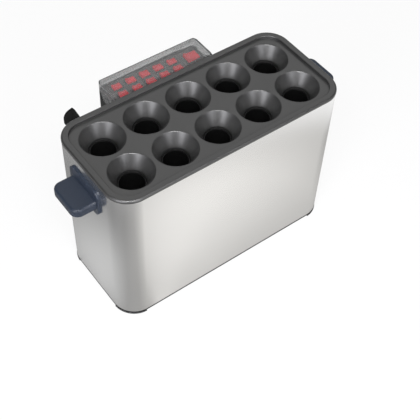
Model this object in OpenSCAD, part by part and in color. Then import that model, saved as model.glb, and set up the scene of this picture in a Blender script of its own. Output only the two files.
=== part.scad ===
// Countertop egg-roll cooker: ten heated tubes under a funnel tray, in a steel sleeve,
// with a switch box under a clear hinged lid at the back and a paddle handle at each end.
// Millimetres, +Z up, +Y towards the switch box, origin under the middle of the whole object.

/* [Steel sleeve] */
// Length of the sleeve, end to end
body_l = 360; // [340:1:420]
// Width of the sleeve, front to back
body_w = 160; // [156:1:190]
// Outer radius of the upright corners
corner_r = 33.5; // [24:0.5:42]
// Height of the sleeve
sleeve_h = 238; // [225:1:280]
// Thickness of the steel sheet
sheet_t = 1; // [0.6:0.1:1.6]

/* [Base pan and feet] */
// Height of the rubber feet
foot_h = 3; // [1:0.5:6]
// Width of each arc-shaped foot
foot_w = 6; // [3:0.5:7]
// Step in from the trim's edge to the foot, which stands proud below zero
foot_inset = -0.4; // [-0.4:0.2:2]
// Height of the black trim under the sleeve
trim_h = 2.5; // [2:0.5:8]
// Width of the band under the pan that carries the feet
pan_band = 8; // [7.5:0.5:9]
// Thickness of the pan's floor
pan_t = 2; // [1.5:0.1:3]
// Height of the pan's floor above its lower edge
pan_rise = 6; // [5:0.5:10]
// Height of the pan's lip inside the sleeve
pan_lip_h = 8; // [5:0.5:14]
// Thickness of that lip
pan_lip_t = 2; // [1.2:0.1:3]

/* [Funnel tray] */
// Thickness of the tray's floor
tray_t = 2; // [1.2:0.1:3]
// Height of the tray's floor above the sleeve's top edge
tray_lift = 0.5; // [0.2:0.1:1.5]
// Height of the rim above the tray's floor
rim_h = 4; // [3:0.5:8]
// Width of the rim
rim_w = 9.8; // [7:0.2:11]
// Rounding of the rim's outer edge
rim_edge_r = 3.2; // [0.5:0.1:3.2]
// Rounding of the rim's inner edge
rim_in_r = 1; // [0.3:0.1:2]
// Overhang of the rim past the sleeve
rim_out = 0.4; // [0.2:0.1:1]
// Depth of the tray's skirt inside the sleeve
skirt_h = 8; // [5:0.5:12]
// Thickness of the skirt
skirt_t = 1.6; // [1:0.1:2]
// Distance between neighbouring tubes, both ways
hole_pitch = 66.5; // [65:0.5:68.5]
// Radius of a funnel at the tray's floor
mouth_r = 30; // [27:0.25:30.5]
// Rounding where the funnel meets the floor
lip_r = 2.5; // [1:0.25:3]
// Depth of a funnel down to its throat
funnel_d = 19; // [14:0.5:26]
// Radius of a funnel's throat
throat_r = 19; // [17.5:0.25:21]
// Wall of the collar under a funnel
collar_t = 1.6; // [1.2:0.1:2.2]
// Length of that collar
collar_l = 14; // [9:0.5:18]

/* [Cooking tubes] */
// Wall of a tube
tube_wall = 2.05; // [1.2:0.05:3]
// Length of a tube
tube_l = 165; // [150:1:175]
// Thickness of a tube's closed bottom
tube_floor_t = 2; // [1.5:0.1:4]
// Step from a funnel's throat down to the tube's upper edge
tube_drop = 4; // [2:0.5:7]
// Height of the shoulder that stops a tube against its collar
shoulder_h = 3; // [2:0.5:6]

/* [Heaters] */
// Length of a heater band
heater_l = 105; // [95:1:115]
// Thickness of a heater band
heater_t = 2.4; // [1.5:0.1:3.5]
// Height of a heater band above the tube's bottom
heater_rise = 34; // [26:1:36]
// Split in a heater band
heater_split = 6; // [3:0.5:10]
// Width of a heater's terminal block
heater_block_w = 10; // [7:0.5:14]
// Depth of a heater's terminal block
heater_block_d = 5.5; // [3:0.5:7]
// Height of a heater's terminal block
heater_block_h = 12; // [9:0.5:16]
// Radius of a thermal cut-out
cutout_r = 7; // [5:0.5:10]
// Height of a thermal cut-out
cutout_h = 5; // [3:0.5:8]

/* [Tie rods and screws] */
// Radius of a tie rod
rod_r = 2; // [1.5:0.1:2.5]
// Radius of a tie rod's boss under the tray
rod_boss_r = 5; // [4:0.25:5.5]
// Height of that boss
rod_boss_h = 12; // [8:0.5:16]
// Radius of a nut across its corners
nut_r = 4; // [3.5:0.1:4.5]
// Height of a nut
nut_h = 3.2; // [2.5:0.1:3.8]
// Gap between a nut and the band under the pan
nut_gap = 1.5; // [0.5:0.1:3]
// Radius of a fixing screw
screw_r = 2; // [1.5:0.1:2.5]
// Radius of a fixing screw's head
screw_head_r = 4; // [3.2:0.1:4.5]
// Height of a fixing screw's head
screw_head_h = 2.4; // [1.5:0.1:3]
// Length of a fixing screw that ends inside the sleeve
screw_end = 6; // [3:0.5:12]

/* [Handles] */
// Width of a handle's paddle
handle_w = 57.5; // [50:0.5:66]
// Reach of a handle from the sleeve
handle_reach = 35; // [30:0.5:45]
// Thickness of a paddle
handle_t = 13; // [12:0.5:18]
// Drop from the tray's floor to the paddle's top
handle_drop = 31; // [26:0.5:34]
// Corner radius of a paddle, seen from above
handle_corner_r = 12; // [8:0.5:16]
// Rounding of a paddle's edges
handle_edge_r = 4; // [2:0.25:5]
// Wall of the hollow paddle
handle_wall = 3; // [2:0.25:3.5]
// Width of a handle's mounting plate
plate_w = 66; // [62:0.5:86]
// Height of that plate
plate_h = 42; // [38:0.5:50]
// Thickness of that plate
plate_t = 3.5; // [2.5:0.1:5]
// Drop from the tray's floor to the plate's top
plate_drop = 14; // [10:0.5:14]
// Corner radius of that plate
plate_corner_r = 10; // [5:0.5:14]
// Distance between a handle's two screws
handle_screw_gap = 36; // [28:0.5:40]
// Radius of a screw boss inside a paddle
handle_boss_r = 4.5; // [3.75:0.25:5]
// Length of a screw boss inside a paddle
handle_boss_l = 14; // [10:0.5:16]

/* [Switch box] */
// Length of the switch box
box_l = 162; // [160:1:190]
// Reach of the box from the sleeve's back wall
box_reach = 53; // [53:0.5:62]
// Height of the box
box_h = 74; // [66:0.5:86]
// Wall of the box
box_wall = 2.5; // [2:0.1:3.2]
// Radius of the box's outer upright corners
box_corner_r = 9; // [6:0.5:12]
// Height of the pairs of box screws above the box's lower edge
box_screw_low = 16; // [12:0.5:20]
// Distance between the lower and upper box screws
box_screw_rise = 34; // [28:0.5:38]
// Distance between the left and right box screws
box_screw_gap = 120; // [100:1:130]

/* [Clear lid] */
// Drop from the tray's floor to the lid's top
lid_drop = 5; // [3:0.5:8]
// Height of the lid's walls
lid_h = 14; // [13:0.5:16]
// Thickness of the lid
lid_t = 2; // [1.5:0.1:2.5]
// Rounding of the lid's far upper edge
lid_edge_r = 3; // [2.5:0.25:5]
// Gap between the closed lid and the box
lid_gap = 0.3; // [0.2:0.05:0.5]
// Distance from the sleeve's back wall to the hinge axis
hinge_off = 14; // [13.5:0.25:15]
// Drop from the lid's top to the hinge axis
hinge_drop = 11; // [10:0.25:11.5]
// Where the lid's rounded back edge ends, as a turn from straight out
roll_end = 145; // [130:1:145]
// Radius of a hinge pin
pin_r = 2; // [1.5:0.1:2.5]
// Radius of a hinge pin's head
pin_head_r = 3.5; // [3:0.1:4.5]
// Height of a hinge pin's head
pin_head_h = 1; // [0.8:0.1:1.5]
// Radius of the box's lug round a hinge pin
lug_r = 3.85; // [3.5:0.05:3.9]
// Length of the lid's ear past the hinge axis
ear_l = 27.5; // [22:0.5:29]
// Depth of the ear below the hinge axis
ear_d = 14; // [12:0.5:15]
// Rounding of the ear's corners
ear_r = 8; // [5:0.5:9]

/* [Switches] */
// Drop from the lid's lower edge to the switch panel
panel_drop = 2; // [1.5:0.1:3]
// Thickness of the switch panel
panel_t = 2; // [1.5:0.1:2.5]
// Distance between neighbouring small switches along the box
switch_pitch_x = 22.6; // [20:0.1:24]
// Distance between the two rows of small switches
switch_pitch_y = 16.2; // [15.5:0.1:16.6]
// Middle of the small switches along the box
switch_mid_x = -12.5; // [-14:0.5:-11]
// Middle of the small switches out from the sleeve
switch_mid_y = 30.7; // [30:0.1:31]
// Length of a small rocker
rocker_l = 12.5; // [10:0.25:13]
// Width of a small rocker
rocker_w = 9; // [7:0.25:9.5]
// Place of the power switch along the box
power_x = 62; // [59.5:0.5:62.5]
// Place of the power switch out from the sleeve
power_y = 33; // [31:0.5:34.5]
// Length of the power rocker
power_l = 19; // [16:0.25:19.5]
// Width of the power rocker
power_w = 14.5; // [12:0.25:15]
// Tilt of a rocker either way
rocker_tilt = 8; // [5:0.5:9]
// Slope of a rocker's two faces
rocker_slope = 10; // [6:0.5:12]
// Height of a rocker's middle above its bezel
rocker_rise = 1.2; // [1:0.1:2]
// Thickness of a bezel
bezel_t = 1.5; // [1.2:0.1:2]
// Width of a bezel round its switch body
bezel_w = 0.7; // [0.5:0.05:0.8]
// Wall of a switch body
switch_wall = 0.6; // [0.5:0.05:0.8]
// Depth of a switch body below the panel
switch_d = 14; // [12:0.5:18]
// Radius of a rocker's pivot
pivot_r = 1; // [0.8:0.05:1.1]
// Drop from the panel's top to a rocker's pivot
pivot_drop = 0.8; // [0.7:0.05:1.2]
// Depth of a rocker below its pivot
rocker_d = 2; // [1.5:0.1:2.5]
// Height of a terminal blade
blade_h = 7; // [5:0.5:9]

/* [Wiring] */
// Radius of the main wire bundle
bundle_r = 3.5; // [2.5:0.1:4]
// Radius of a single wire
wire_r = 1.1; // [0.8:0.1:1.3]
// Height of the wires above the box's lower edge
wire_rise = 29; // [27:0.5:32]
// Wall of the grommet round the bundle
grommet_t = 3; // [2:0.1:3.5]
// Thickness of the grommet's flanges
grommet_flange = 2; // [1.5:0.1:3]
// Length of the terminal strip in the box
strip_l = 46; // [34:1:60]
// Width of the terminal strip
strip_w = 16; // [12:0.5:20]
// Height of the terminal strip
strip_h = 13; // [9:0.5:16]
// Place of the cord gland along the box
gland_x = -50; // [-56:0.5:-46]
// Place of the cord gland out from the sleeve
gland_y = 28; // [24:0.5:32]
// Radius of the cord gland's bore
gland_bore_r = 4; // [3:0.1:4.5]
// Wall of the cord gland
gland_wall = 3; // [2:0.1:4]
// Length of the gland's neck below the box
gland_neck = 11; // [8:0.5:16]

/* [Cord hook] */
// Distance from the sleeve's left end to the hook's arm
hook_in = 52; // [46:0.5:64]
// Reach of the hook from the back wall
hook_reach = 31; // [24:0.5:40]
// Height of the hook
hook_h = 26; // [22:0.5:30]
// Drop from the tray's floor to the hook's top
hook_drop = 9; // [8:0.5:14]
// Thickness of the hook
hook_t = 5; // [4:0.25:6]
// Drop from the hook's top to the top of its arm
hook_arm_drop = 10; // [0:0.5:12]
// Length over which the arm's top slopes up to the turned end
hook_arm_run = 14; // [8:0.5:15]
// Length of the hook's turned end
hook_end_l = 16; // [13:0.5:28]
// Rounding of the turned end
hook_end_r = 10; // [5:0.5:10.5]
// Turn of the hook outwards
hook_turn = 12; // [6:1:16]
// Width of the hook's base
hook_base_w = 30; // [28:0.5:36]
// Thickness of the hook's base
hook_base_t = 3; // [2:0.1:4]

/* [Hidden] */
$fn = 64;
COLS = 5;
ROWS = 2;
TUBES = COLS * ROWS;
// Clearances: a sliding fit, a turning fit, a loose fit and the play of moving pieces
slide_fit = 0.15;
turn_fit = 0.08;
loose_fit = 0.3;
play = 0.4;
// Length by which a cut runs past a face
past = 1;

// Levels
pan_z = foot_h;
sleeve_z = pan_z + trim_h;
sleeve_top = sleeve_z + sleeve_h;
floor_z = sleeve_top + tray_lift;
rim_top = floor_z + rim_h;
// Rounding of the rim's outer edge, within half its width and its height
rim_r = min(rim_edge_r, rim_w / 2, rim_h);
tube_top = floor_z - funnel_d - tube_drop;
tube_z = tube_top - tube_l;
collar_z = floor_z - funnel_d - collar_l;
lid_top = floor_z - lid_drop;
lid_z = lid_top - lid_h;
box_top = lid_z - lid_gap;
box_z = box_top - box_h;
panel_top = lid_z - panel_drop;
panel_z = panel_top - panel_t;
wire_z = box_z + wire_rise;
paddle_top = floor_z - handle_drop;
paddle_mid = paddle_top - handle_t / 2;

// Plan
back_y = body_w / 2;
box_far = back_y + box_reach;
body_y = -(box_reach - rim_out) / 2;
wall_x = body_l / 2;
lip_half = 45 - atan((mouth_r - throat_r) / funnel_d) / 2;
lip_x = mouth_r + lip_r * tan(lip_half);
tube_r = throat_r - slide_fit;
bore_r = tube_r - tube_wall;
heater_in = tube_r + slide_fit;
heater_out = heater_in + heater_t;
feed_x = hole_pitch / 2;
rod_x = 1.5 * hole_pitch;
rod_y = body_w / 2 - pan_band - nut_r - nut_gap;
rod_top = floor_z - tray_t - slide_fit;
rod_z = pan_z + pan_rise - nut_h - past;

// Hinge of the lid and what it clears
hinge_y = back_y + hinge_off;
hinge_z = lid_top - hinge_drop;
ear_reach = norm([ear_l - ear_r, ear_d - ear_r]) + ear_r;
ear_z = hinge_z - ear_d;
recess_d = lid_t + play;
end_x = box_l / 2;
inner_x = end_x - recess_d - box_wall;
stem_y = hinge_y - lug_r;
gutter_top = hinge_z - hinge_drop - past;
gutter_z = gutter_top - box_wall;
rib_y = hinge_y;
panel_near = rib_y;
panel_far = box_far - box_wall - slide_fit;

// Switches
pivot_z = panel_top - pivot_drop;
crown_z = pivot_drop + bezel_t + rocker_rise;
panel_screw_r = 1.2;
panel_screw_head = 2.6;
panel_screw_l = 7;
ledge_w = 9;
ledge_h = panel_screw_l + 1.5 * past;
panel_screw_x = inner_x - (ledge_w + past) / 2;
panel_screw_near = panel_near + ledge_w / 2;
panel_screw_far = panel_far - ledge_w / 2;
blade_t = 0.8;
blade_w = 4;
blade_gap = 4.5;
gland_r = gland_bore_r + gland_wall;

function hole_at(i) = [
    ((i - 1) % COLS - (COLS - 1) / 2) * hole_pitch,
    (floor((i - 1) / COLS) - (ROWS - 1) / 2) * hole_pitch
];
function switch_at(i) = [
    switch_mid_x + ((i - 1) % COLS - (COLS - 1) / 2) * switch_pitch_x,
    back_y + switch_mid_y + (floor((i - 1) / COLS) - (ROWS - 1) / 2) * switch_pitch_y
];
rod_places = [for (sx = [-1, 1], sy = [-1, 1]) [sx * rod_x, sy * rod_y]];
box_screw_places = [
    for (sx = [-1, 1], up = [0, 1])
        [sx * box_screw_gap / 2, box_z + box_screw_low + up * box_screw_rise]
];
panel_screw_places = [
    for (sx = [-1, 1], y = [panel_screw_near, panel_screw_far]) [sx * panel_screw_x, y]
];
hook_x = hook_in - wall_x;
hook_mid_z = floor_z - hook_drop - hook_h / 2;
hook_screw_places = [
    for (s = [-1, 1]) [hook_x + hook_t / 2 + screw_head_r + past, hook_mid_z + s * hook_h / 4]
];
handle_screw_places = [for (s = [-1, 1]) s * handle_screw_gap / 2];

// Shared shapes

module placed() {
    translate([0, body_y, 0]) children();
}

// Rounded rectangle, centred
module rounded(l, w, r) {
    square([l - 2 * r, w], center = true);
    square([l, w - 2 * r], center = true);
    for (sx = [-1, 1], sy = [-1, 1])
        translate([sx * (l / 2 - r), sy * (w / 2 - r)]) circle(r);
}

// Upright prism of the body's outline, stepped in from the sleeve's outer face
module body_prism(step_in, z0, z1) {
    translate([0, 0, z0])
        linear_extrude(z1 - z0)
            rounded(body_l - 2 * step_in, body_w - 2 * step_in, corner_r - step_in);
}

// Profile carried round the body's outline; its x is the distance from a corner's axis
module round_the_body() {
    run_l = body_l - 2 * corner_r;
    run_w = body_w - 2 * corner_r;
    for (s = [0, 1]) rotate(180 * s) {
        translate([run_l / 2, 0, 0])
            rotate([90, 0, 0]) linear_extrude(run_w, center = true) children();
        translate([0, run_w / 2, 0])
            rotate([90, 0, 90]) linear_extrude(run_l, center = true) children();
        translate([run_l / 2, run_w / 2, 0]) rotate_extrude(angle = 90) children();
        translate([-run_l / 2, run_w / 2, 0]) rotate(90) rotate_extrude(angle = 90) children();
    }
}

// Cylinder along Y from y0 to y1
module rod_y_way(r, y0, y1) {
    translate([0, y0, 0]) rotate([-90, 0, 0]) cylinder(r = r, h = y1 - y0);
}

// Cylinder along X from x0 to x1
module rod_x_way(r, x0, x1) {
    translate([x0, 0, 0]) rotate([0, 90, 0]) cylinder(r = r, h = x1 - x0);
}

// Outline in Y and Z carried along X
module along_x(x0, x1) {
    translate([x0, 0, 0]) rotate([90, 0, 90]) linear_extrude(x1 - x0) children();
}

// Sleeve, base and feet

module body_shell() color([0.8, 0.79, 0.77]) {
    difference() {
        body_prism(0, sleeve_z, sleeve_top);
        body_prism(sheet_t, sleeve_z - past, sleeve_top + past);
        for (s = [-1, 1], y = handle_screw_places)
            translate([0, y, paddle_mid])
                rod_x_way(screw_r + slide_fit, s * wall_x - 2 * sheet_t, s * wall_x + 2 * sheet_t);
        for (p = box_screw_places)
            translate([p[0], 0, p[1]])
                rod_y_way(screw_r + slide_fit, back_y - 2 * sheet_t, back_y + past);
        for (p = hook_screw_places)
            translate([p[0], 0, p[1]])
                rod_y_way(screw_r + slide_fit, back_y - 2 * sheet_t, back_y + past);
        translate([feed_x, 0, wire_z])
            rod_y_way(bundle_r + grommet_t + slide_fit, back_y - 2 * sheet_t, back_y + past);
    }
}

module base_pan() color([0.06, 0.06, 0.06]) {
    floor_low = pan_z + pan_rise;
    floor_high = floor_low + pan_t;
    lip_step = sheet_t + slide_fit;
    difference() {
        union() {
            body_prism(0, pan_z, sleeve_z);
            body_prism(lip_step, pan_z, max(sleeve_z + pan_lip_h, floor_high));
        }
        body_prism(lip_step + pan_lip_t, floor_high, floor_high + sleeve_h);
        body_prism(pan_band, pan_z - past, floor_low);
        for (p = rod_places)
            translate([p[0], p[1], pan_z]) cylinder(r = rod_r + loose_fit, h = floor_high);
    }
}

module corner_feet() color([0.04, 0.04, 0.04]) {
    sweep = 84;
    for (sx = [-1, 1], sy = [-1, 1])
        translate([sx * (body_l / 2 - corner_r), sy * (body_w / 2 - corner_r), 0])
            rotate(sx * sy > 0 ? (sx > 0 ? 0 : 180) : (sx < 0 ? 90 : 270))
                rotate((90 - sweep) / 2)
                    rotate_extrude(angle = sweep)
                        translate([corner_r - foot_inset - foot_w, 0]) square([foot_w, foot_h]);
}

// Tray with its funnels

module rim_profile() {
    outer = corner_r + rim_out;
    inner = outer - rim_w;
    full_h = rim_h + tray_lift;
    translate([inner, sleeve_top]) square([rim_w / 2, full_h - rim_in_r]);
    translate([inner + rim_in_r, sleeve_top]) square([rim_w - rim_in_r - rim_r, full_h]);
    translate([outer - rim_w / 2, sleeve_top]) square([rim_w / 2, full_h - rim_r]);
    for (e = [[inner + rim_in_r, rim_in_r], [outer - rim_r, rim_r]]) {
        translate([e[0], rim_top - e[1]]) intersection() {
            circle(e[1]);
            translate([-e[1], 0]) square([2 * e[1], e[1]]);
        }
    }
}

// Room inside a funnel and its collar, with a rounded lip
module funnel_room() {
    steps = 6;
    low = -funnel_d - collar_l - past;
    turns = [for (k = [0:steps]) 90 + 2 * lip_half * k / steps];
    lip = [for (a = turns) [lip_x + lip_r * cos(a), lip_r * (sin(a) - 1)]];
    rotate_extrude()
        polygon(concat(
            [[0, rim_h], [lip_x, rim_h]], lip, [[throat_r, -funnel_d], [throat_r, low], [0, low]]
        ));
}

module top_tray() color([0.3, 0.3, 0.3]) {
    difference() {
        union() {
            round_the_body() rim_profile();
            body_prism(sheet_t + slide_fit, floor_z - tray_t, floor_z);
            difference() {
                body_prism(sheet_t + slide_fit, sleeve_top - skirt_h, floor_z - tray_t / 2);
                body_prism(sheet_t + slide_fit + skirt_t, sleeve_top - skirt_h - past, floor_z);
            }
            for (i = [1:TUBES]) translate([hole_at(i)[0], hole_at(i)[1], 0]) {
                translate([0, 0, floor_z - funnel_d])
                    cylinder(r1 = throat_r + collar_t, r2 = lip_x, h = funnel_d - tray_t / 2);
                translate([0, 0, collar_z]) cylinder(r = throat_r + collar_t, h = collar_l);
            }
            for (p = rod_places)
                translate([p[0], p[1], floor_z - tray_t - rod_boss_h])
                    cylinder(r = rod_boss_r, h = rod_boss_h + tray_t / 2);
        }
        for (i = [1:TUBES]) translate([hole_at(i)[0], hole_at(i)[1], floor_z]) funnel_room();
        for (p = rod_places)
            translate([p[0], p[1], floor_z - tray_t - rod_boss_h - past])
                cylinder(r = rod_r + turn_fit, h = rod_boss_h + past);
    }
}

module cooking_tube(i) color([0.12, 0.12, 0.12]) {
    translate([hole_at(i)[0], hole_at(i)[1], 0]) difference() {
        union() {
            translate([0, 0, tube_z]) cylinder(r = tube_r, h = tube_l);
            translate([0, 0, collar_z - shoulder_h]) cylinder(r = throat_r + collar_t, h = shoulder_h);
        }
        translate([0, 0, tube_z + tube_floor_t]) cylinder(r = bore_r, h = tube_l);
    }
}

// Heating

// Split band with a terminal block on the side that faces the middle of the body
module heater_band(i) color([0.55, 0.5, 0.42]) {
    back_row = hole_at(i)[1] > 0;
    z0 = tube_z + heater_rise;
    block_y = back_row ? -heater_out - heater_block_d : 0;
    split_y = back_row ? 0 : -heater_out - past;
    translate([hole_at(i)[0], hole_at(i)[1], 0]) difference() {
        union() {
            translate([0, 0, z0]) cylinder(r = heater_out, h = heater_l);
            translate([-heater_block_w / 2, block_y, wire_z - heater_block_h / 2])
                cube([heater_block_w, heater_out + heater_block_d, heater_block_h]);
        }
        translate([0, 0, z0 - past]) cylinder(r = heater_in, h = heater_l + 2 * past);
        translate([-heater_split / 2, split_y, z0 - past])
            cube([heater_split, heater_out + past, heater_l + 2 * past]);
    }
}

module tube_thermostats() color([0.6, 0.6, 0.58]) {
    step_r = 0.7 * cutout_r;
    for (i = [1:TUBES]) translate([hole_at(i)[0], hole_at(i)[1], tube_z - cutout_h]) {
        translate([0, 0, cutout_h / 2]) cylinder(r = cutout_r, h = cutout_h / 2);
        cylinder(r = step_r, h = cutout_h / 2);
    }
}

// Fixings that hold tray, sleeve and base together

module tie_rods() color([0.62, 0.62, 0.62]) {
    for (p = rod_places) translate([p[0], p[1], rod_z]) cylinder(r = rod_r, h = rod_top - rod_z);
}

module base_nuts() color([0.62, 0.62, 0.62]) {
    for (p = rod_places) translate([p[0], p[1], pan_z + pan_rise - nut_h]) difference() {
        cylinder(r = nut_r, h = nut_h, $fn = 6);
        translate([0, 0, -past]) cylinder(r = rod_r + turn_fit, h = nut_h + 2 * past);
    }
}

// Handles

// Edge of the paddle, carried round its plan; its x is the distance from a corner's axis
module paddle_edge() {
    low_r = handle_wall / 2;
    flat = handle_corner_r - handle_edge_r;
    square([flat, handle_t]);
    square([handle_corner_r - low_r, handle_t / 2]);
    translate([0, low_r]) square([handle_corner_r, handle_t - handle_edge_r - low_r]);
    translate([flat, handle_t - handle_edge_r]) circle(handle_edge_r);
    translate([handle_corner_r - low_r, low_r]) circle(low_r);
}

// Paddle's outer form, from inside the mounting plate to its free end
module paddle() {
    from_x = wall_x + plate_t / 2;
    corner_x = wall_x + handle_reach - handle_corner_r;
    corner_y = handle_w / 2 - handle_corner_r;
    translate([0, 0, paddle_top - handle_t]) {
        translate([from_x, -corner_y, 0]) cube([corner_x - from_x, 2 * corner_y, handle_t]);
        translate([corner_x, 0, 0])
            rotate([90, 0, 0]) linear_extrude(2 * corner_y, center = true) paddle_edge();
        for (s = [0, 1]) mirror([0, s, 0]) {
            translate([from_x, corner_y, 0])
                rotate([90, 0, 90]) linear_extrude(corner_x - from_x) paddle_edge();
            translate([corner_x, corner_y, 0]) rotate_extrude(angle = 90) paddle_edge();
        }
    }
}

module handle_right_way() {
    room_reach = handle_reach - handle_wall - plate_t;
    plate_mid = floor_z - plate_drop - plate_h / 2;
    difference() {
        union() {
            along_x(wall_x, wall_x + plate_t)
                translate([0, plate_mid]) rounded(plate_w, plate_h, plate_corner_r);
            difference() {
                paddle();
                translate([wall_x + plate_t + room_reach / 2, 0, paddle_top - handle_t - past])
                    linear_extrude(handle_t + past - handle_wall)
                        rounded(room_reach, handle_w - 2 * handle_wall, handle_corner_r - handle_wall);
            }
            translate([wall_x + plate_t / 2, -handle_wall / 2, paddle_top - handle_t + handle_wall / 2])
                cube([handle_reach - plate_t, handle_wall, handle_t - handle_wall]);
            for (y = handle_screw_places) translate([0, y, paddle_mid])
                rod_x_way(handle_boss_r, wall_x + plate_t / 2, wall_x + plate_t + handle_boss_l);
        }
        for (y = handle_screw_places) translate([0, y, paddle_mid])
            rod_x_way(screw_r + turn_fit, wall_x - past, wall_x + plate_t + handle_boss_l - past);
    }
}

module right_handle() color([0.17, 0.19, 0.24]) handle_right_way();

module left_handle() color([0.17, 0.19, 0.24]) mirror([1, 0, 0]) handle_right_way();

module handle_screws() color([0.62, 0.62, 0.62]) {
    for (s = [0, 1], y = handle_screw_places) mirror([s, 0, 0]) translate([0, y, paddle_mid]) {
        rod_x_way(screw_head_r, wall_x - sheet_t - screw_head_h, wall_x - sheet_t);
        rod_x_way(screw_r, wall_x - sheet_t - past, wall_x + plate_t + handle_boss_l - 2 * past);
    }
}

// Switch box

// Box's plan: square against the sleeve, rounded at the two outer corners
module box_plan(step_in) {
    half = end_x - step_in;
    far = box_far - step_in;
    r = box_corner_r - step_in;
    translate([-half, back_y]) square([2 * half, box_reach - step_in - r]);
    translate([-half + r, back_y]) square([2 * (half - r), box_reach - step_in]);
    for (s = [-1, 1]) translate([s * (half - r), far - r]) circle(r);
}

module control_box() color([0.05, 0.05, 0.05]) {
    shelf_z = ear_z - play - box_wall;
    lip_y = hinge_y + ear_reach + play;
    difference() {
        union() {
            difference() {
                translate([0, 0, box_z]) linear_extrude(box_h) box_plan(0);
                translate([0, box_wall, box_z + box_wall])
                    linear_extrude(shelf_z - box_z - box_wall)
                        intersection() {
                            box_plan(box_wall);
                            translate([-end_x, back_y - box_wall]) square([box_l, box_reach - box_wall]);
                        }
                translate([-inner_x, back_y + box_wall, shelf_z - past])
                    cube([2 * inner_x, box_reach - 2 * box_wall, box_h]);
                for (s = [0, 1]) mirror([s, 0, 0])
                    translate([end_x - recess_d, back_y + box_wall, ear_z - play])
                        cube([recess_d + past, lip_y - back_y - box_wall, box_h]);
            }
            // Gutter that the lid's rolled edge turns into, and the rib that carries the panel
            translate([-inner_x - past, back_y + box_wall / 2, gutter_z])
                cube([2 * inner_x + 2 * past, rib_y + box_wall - back_y - box_wall / 2, box_wall]);
            translate([-inner_x - past, rib_y, gutter_z])
                cube([2 * inner_x + 2 * past, box_wall, panel_z - gutter_z]);
            for (s = [0, 1]) mirror([s, 0, 0]) {
                translate([inner_x, stem_y, box_top - box_wall])
                    cube([box_wall, 2 * lug_r, hinge_z - box_top + box_wall]);
                translate([0, hinge_y, hinge_z]) rod_x_way(lug_r, inner_x, inner_x + box_wall);
            }
            for (p = panel_screw_places) {
                ledge_x = p[0] > 0 ? p[0] - ledge_w / 2 : -inner_x - past;
                translate([ledge_x, p[1] - ledge_w / 2, panel_z - ledge_h])
                    cube([inner_x + past - abs(p[0]) + ledge_w / 2, ledge_w, ledge_h]);
            }
        }
        // Ends of the gutter, open for the lid's rolled edge
        for (s = [0, 1]) mirror([s, 0, 0])
            translate([inner_x - past, back_y + box_wall, gutter_top])
                cube([box_wall + 2 * past, stem_y - back_y - box_wall, box_h]);
        for (s = [0, 1]) mirror([s, 0, 0])
            translate([0, hinge_y, hinge_z]) rod_x_way(pin_r, inner_x - past, end_x);
        for (p = panel_screw_places)
            translate([p[0], p[1], panel_z - panel_screw_l - past / 2])
                cylinder(r = panel_screw_r + turn_fit, h = panel_screw_l + past);
        for (p = box_screw_places)
            translate([p[0], 0, p[1]])
                rod_y_way(screw_r + slide_fit, back_y - past, back_y + box_wall + past);
        translate([feed_x, 0, wire_z])
            rod_y_way(bundle_r + grommet_t + slide_fit, back_y - past, back_y + box_wall + past);
        translate([gland_x, back_y + gland_y, box_z - past])
            cylinder(r = gland_r + slide_fit, h = box_wall + 2 * past);
    }
}

module box_screws() color([0.62, 0.62, 0.62]) {
    seat = back_y + box_wall;
    for (p = box_screw_places) translate([p[0], 0, p[1]]) {
        rod_y_way(screw_head_r, seat, seat + screw_head_h);
        rod_y_way(screw_r, back_y - sheet_t - screw_end, seat + past);
    }
}

// Lid over the switches

// Lid's outline in Y and Z: rolled back edge round the hinge, flat top, rounded far edge
module lid_outline(step_in) {
    far = box_far - step_in;
    top = lid_top - step_in;
    r = lid_edge_r - step_in;
    translate([hinge_y, hinge_z]) circle(hinge_drop - step_in);
    translate([hinge_y, lid_z - past]) square([far - hinge_y, top - r - lid_z + past]);
    translate([hinge_y, lid_z - past]) square([far - r - hinge_y, top - lid_z + past]);
    translate([far - r, top - r]) circle(r);
}

// What the lid leaves open: all below its walls, and the back below its rolled edge
module lid_opening() {
    reach = 4 * hinge_drop;
    translate([hinge_y - reach, lid_z - reach]) square([box_reach + reach, reach]);
    translate([hinge_y, hinge_z])
        polygon([
            [0, 0], [reach * cos(roll_end), reach * sin(roll_end)], [-reach, -reach], [0, -reach]
        ]);
}

module lid_ear() {
    ear_h = ear_d + lid_z - hinge_z + lid_t + ear_r;
    translate([hinge_y, hinge_z]) circle(hinge_drop);
    translate([hinge_y + ear_l / 2, ear_z + ear_h / 2]) rounded(ear_l, ear_h, ear_r);
}

module clear_lid() color([0.8, 0.85, 0.87, 0.4]) {
    plan_z = lid_z - ear_d;
    difference() {
        union() {
            difference() {
                intersection() {
                    along_x(-end_x, end_x) lid_outline(0);
                    translate([0, 0, plan_z]) linear_extrude(lid_top) box_plan(0);
                }
                intersection() {
                    along_x(-end_x + lid_t, end_x - lid_t) lid_outline(lid_t);
                    translate([0, 0, plan_z]) linear_extrude(lid_top) box_plan(lid_t);
                }
                along_x(-end_x - past, end_x + past) lid_opening();
            }
            for (s = [0, 1]) mirror([s, 0, 0]) along_x(end_x - lid_t, end_x) lid_ear();
        }
        for (s = [0, 1]) mirror([s, 0, 0])
            translate([0, hinge_y, hinge_z])
                rod_x_way(pin_r + turn_fit, end_x - lid_t - past, end_x + past);
    }
}

module lid_hinge_pins() color([0.62, 0.62, 0.62]) {
    for (s = [0, 1]) mirror([s, 0, 0]) translate([0, hinge_y, hinge_z]) {
        rod_x_way(pin_r, inner_x, end_x + loose_fit + pin_head_h);
        rod_x_way(pin_head_r, end_x + loose_fit, end_x + loose_fit + pin_head_h);
    }
}

// Switches

// Room that a rocker of length l and width w turns in
function room_l(l) = l + 2 * (play + slide_fit);
function room_w(w) = w + 2 * loose_fit;
function case_l(l) = room_l(l) + 2 * switch_wall;
function case_w(w) = room_w(w) + 2 * switch_wall;

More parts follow.
